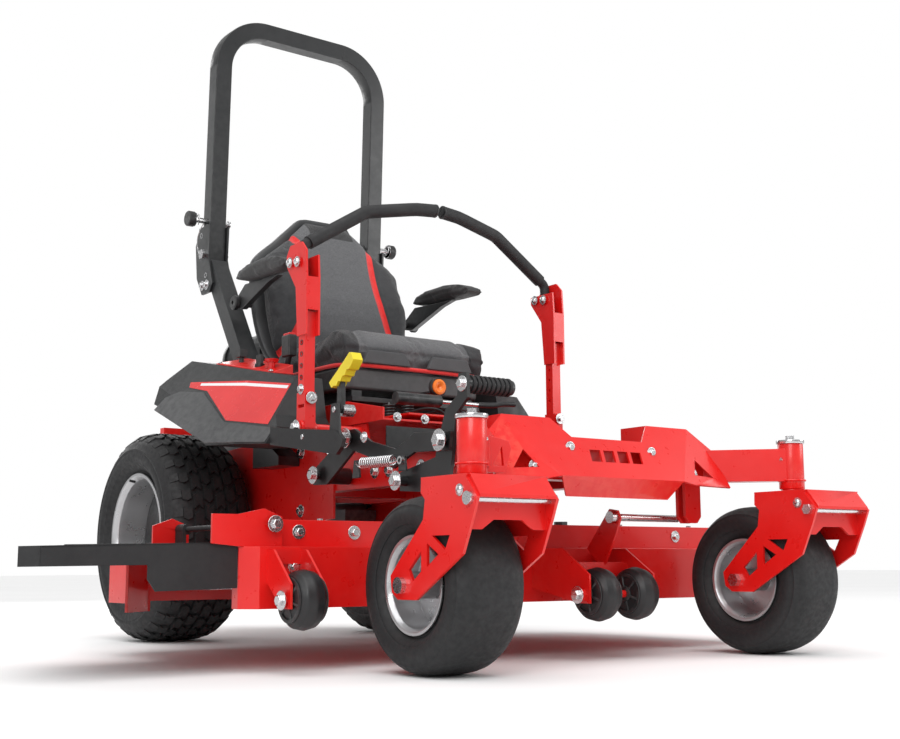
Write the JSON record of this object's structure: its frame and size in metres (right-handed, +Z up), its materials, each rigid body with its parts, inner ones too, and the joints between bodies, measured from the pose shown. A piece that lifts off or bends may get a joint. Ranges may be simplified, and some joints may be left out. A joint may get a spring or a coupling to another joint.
{
  "type": "zero turn mower",
  "caption": "Ride-on lawn mower with lap bar levers, folding roll bar, swivelling front casters and a belly deck with side discharge deflector",
  "frame": {"origin": "middle of the bounding box, on the ground", "axes": "+Z up, the machine drives towards -Y, +X is the operator's left, the discharge deflector points to -X"},
  "size_m": [1.89, 2.089, 1.8459],
  "materials": {
    "red_paint": "gloss red powder coat",
    "black_steel": "satin black paint",
    "cast_metal": "dark cast housing",
    "bright_steel": "zinc plated steel",
    "black_plastic": "moulded black plastic",
    "grey_plastic": "grained dark grey plastic",
    "grip_rubber": "soft black rubber",
    "tyre_rubber": "black tyre",
    "silver_paint": "silver painted wheel",
    "seat_fabric": "grey and charcoal upholstery with red accents",
    "yellow_plastic": "yellow grip on a black bar"
  },
  "bodies": {
    "chassis": {"caster_caps": "bright_steel", "console_panel": "red_paint", "engine_block": "cast_metal", "engine_covers": "black_steel", "fender_left": "grey_plastic", "fender_right": "grey_plastic", "foot_platform": "black_steel", "front_cover": "red_paint", "front_frame": "red_paint", "main_frame": "red_paint", "rops_posts": "black_steel", "seat_pan": "red_paint", "transaxles": "cast_metal"},
    "hoop": {"rops_hoop": "black_steel", "rops_pins": "bright_steel"},
    "seat": {"seat_frame": "black_steel", "seat_cushion": "seat_fabric"},
    "backrest": {"seat_back": "seat_fabric"},
    "armrest_r": {"armrest_right": "grip_rubber"},
    "armrest_l": {"armrest_left": "grip_rubber"},
    "drive_wheel_r": {"drive_tyre_right": "tyre_rubber", "drive_rim_right": "silver_paint"},
    "drive_wheel_l": {"drive_tyre_left": "tyre_rubber", "drive_rim_left": "silver_paint"},
    "caster_r": {"caster_fork_right": "red_paint", "caster_axle_right": "bright_steel"},
    "caster_l": {"caster_fork_left": "red_paint", "caster_axle_left": "bright_steel"},
    "caster_wheel_r": {"caster_tyre_right": "tyre_rubber", "caster_rim_right": "silver_paint"},
    "caster_wheel_l": {"caster_tyre_left": "tyre_rubber", "caster_rim_left": "silver_paint"},
    "lever_base_r": {"lever_hub_right": "red_paint"},
    "lever_base_l": {"lever_hub_left": "red_paint"},
    "lever_r": {"lever_post_right": "red_paint", "lever_grip_right": "grip_rubber"},
    "lever_l": {"lever_post_left": "red_paint", "lever_grip_left": "grip_rubber"},
    "deck": {"deck_shell": "red_paint", "spindle_housings": "cast_metal", "deck_belt": "grip_rubber", "roller_brackets": "red_paint", "deck_hardware": "bright_steel"},
    "spindle_r": {"pulley_right": "black_steel", "blade_right": "bright_steel"},
    "spindle_c": {"pulley_centre": "black_steel", "blade_centre": "bright_steel"},
    "spindle_l": {"pulley_left": "black_steel", "blade_left": "bright_steel"},
    "roller_r": {"roller_right": "black_plastic"},
    "roller_l": {"roller_left": "black_plastic"},
    "rollers_mid": {"roller_pair": "black_plastic"},
    "deflector": {"grass_deflector": "grip_rubber"},
    "pedal": {"lift_pedal": "black_steel"},
    "link": {"lift_link": "black_steel"},
    "crank": {"bell_crank": "black_steel"},
    "brake": {"brake_lever": "yellow_plastic"},
    "blade_knob": {"blade_clutch_knob": "red_paint"},
    "throttle": {"throttle_lever": "black_plastic"},
    "key": {"ignition_key": "bright_steel"}
  },
  "joints": [
    {"name": "rops_fold", "type": "hinge", "parent": "chassis", "child": "hoop", "pos_m": [0.205, 0.5765, 1.105], "axis": [-1, 0, 0], "range_deg": [0, 95]},
    {"name": "seat_slide", "type": "slide", "parent": "chassis", "child": "seat", "axis": [0, 1, 0], "range_m": [-0.05, 0]},
    {"name": "back_recline", "type": "hinge", "parent": "seat", "child": "backrest", "pos_m": [0.205, 0.3125, 0.745], "axis": [-1, 0, 0], "range_deg": [-5, 8]},
    {"name": "armrest_r", "type": "hinge", "parent": "backrest", "child": "armrest_r", "pos_m": [-0.095, 0.3695, 0.925], "axis": [-1, 0, 0], "range_deg": [0, 60]},
    {"name": "drive_r", "type": "hinge", "parent": "chassis", "child": "drive_wheel_r", "pos_m": [-0.175, 0.5745, 0.285], "axis": [1, 0, 0], "continuous": true},
    {"name": "caster_swivel_r", "type": "hinge", "parent": "chassis", "child": "caster_r", "pos_m": [-0.249, -0.9095, 0.41], "axis": [0, 0, 1], "continuous": true},
    {"name": "caster_spin_r", "type": "hinge", "parent": "caster_r", "child": "caster_wheel_r", "pos_m": [-0.249, -0.8155, 0.165], "axis": [1, 0, 0], "continuous": true},
    {"name": "lever_drive_r", "type": "hinge", "parent": "chassis", "child": "lever_base_r", "pos_m": [-0.18, -0.1775, 0.52], "axis": [1, 0, 0], "range_deg": [-14, 14]},
    {"name": "lever_swing_r", "type": "hinge", "parent": "lever_base_r", "child": "lever_r", "pos_m": [-0.18, -0.1775, 0.59], "axis": [0, -1, 0], "range_deg": [0, 24]},
    {"name": "armrest_l", "type": "hinge", "parent": "backrest", "child": "armrest_l", "pos_m": [0.505, 0.3695, 0.925], "axis": [-1, 0, 0], "range_deg": [0, 60]},
    {"name": "drive_l", "type": "hinge", "parent": "chassis", "child": "drive_wheel_l", "pos_m": [0.585, 0.5745, 0.285], "axis": [1, 0, 0], "continuous": true},
    {"name": "caster_swivel_l", "type": "hinge", "parent": "chassis", "child": "caster_l", "pos_m": [0.659, -0.9095, 0.41], "axis": [0, 0, 1], "continuous": true},
    {"name": "caster_spin_l", "type": "hinge", "parent": "caster_l", "child": "caster_wheel_l", "pos_m": [0.659, -0.8155, 0.165], "axis": [1, 0, 0], "continuous": true},
    {"name": "lever_drive_l", "type": "hinge", "parent": "chassis", "child": "lever_base_l", "pos_m": [0.59, -0.1775, 0.52], "axis": [1, 0, 0], "range_deg": [-14, 14]},
    {"name": "lever_swing_l", "type": "hinge", "parent": "lever_base_l", "child": "lever_l", "pos_m": [0.59, -0.1775, 0.59], "axis": [0, 1, 0], "range_deg": [0, 24]},
    {"name": "deck_lift", "type": "slide", "parent": "chassis", "child": "deck", "axis": [0, 0, 1], "range_m": [-0.06, 0]},
    {"name": "blade_spin_c", "type": "hinge", "parent": "deck", "child": "spindle_c", "pos_m": [0.205, -0.3105, 0.2], "axis": [0, 0, 1], "continuous": true},
    {"name": "blade_spin_r", "type": "hinge", "parent": "deck", "child": "spindle_r", "pos_m": [-0.265, -0.1005, 0.2], "axis": [0, 0, 1], "continuous": true},
    {"name": "blade_spin_l", "type": "hinge", "parent": "deck", "child": "spindle_l", "pos_m": [0.675, -0.1005, 0.2], "axis": [0, 0, 1], "continuous": true},
    {"name": "roller_spin_r", "type": "hinge", "parent": "deck", "child": "roller_r", "pos_m": [-0.451, -0.6475, 0.138], "axis": [1, 0, 0], "continuous": true},
    {"name": "roller_spin_l", "type": "hinge", "parent": "deck", "child": "roller_l", "pos_m": [0.861, -0.6475, 0.138], "axis": [1, 0, 0], "continuous": true},
    {"name": "roller_spin_mid", "type": "hinge", "parent": "deck", "child": "rollers_mid", "pos_m": [0.268, -0.7415, 0.138], "axis": [1, 0, 0], "continuous": true},
    {"name": "deflector_fold", "type": "hinge", "parent": "deck", "child": "deflector", "pos_m": [-0.467, -0.3365, 0.282], "axis": [0, 1, 0], "range_deg": [0, 80]},
    {"name": "lift_pedal", "type": "hinge", "parent": "chassis", "child": "pedal", "pos_m": [-0.125, -0.5055, 0.38], "axis": [1, 0, 0], "range_deg": [-18, 0]},
    {"name": "lift_crank", "type": "hinge", "parent": "chassis", "child": "crank", "pos_m": [-0.125, -0.1355, 0.415], "axis": [1, 0, 0], "range_deg": [-18, 0]},
    {"name": "lift_link", "type": "hinge", "parent": "pedal", "child": "link", "pos_m": [-0.125, -0.6595, 0.455], "axis": [1, 0, 0], "range_deg": [0, 18]},
    {"name": "park_brake", "type": "hinge", "parent": "chassis", "child": "brake", "pos_m": [-0.177, -0.3305, 0.548], "axis": [1, 0, 0], "range_deg": [0, 30]},
    {"name": "blade_clutch", "type": "slide", "parent": "chassis", "child": "blade_knob", "axis": [0, 0, 1], "range_m": [0, 0.01]},
    {"name": "throttle", "type": "hinge", "parent": "chassis", "child": "throttle", "pos_m": [-0.147, 0.2245, 0.71103], "axis": [1, 0, 0], "range_deg": [-20, 20]},
    {"name": "ignition", "type": "hinge", "parent": "chassis", "child": "key", "pos_m": [-0.145, 0.1255, 0.70288], "axis": [0, 0, 1], "range_deg": [0, 60]}
  ],
  "couplings": [
    {"joint": "blade_spin_r", "follows": "blade_spin_c", "ratio": 1},
    {"joint": "blade_spin_l", "follows": "blade_spin_c", "ratio": 1},
    {"joint": "lift_pedal", "follows": "deck_lift", "rad_per_m": 5.236},
    {"joint": "lift_crank", "follows": "deck_lift", "rad_per_m": 5.236},
    {"joint": "lift_link", "follows": "deck_lift", "rad_per_m": -5.236}
  ]
}
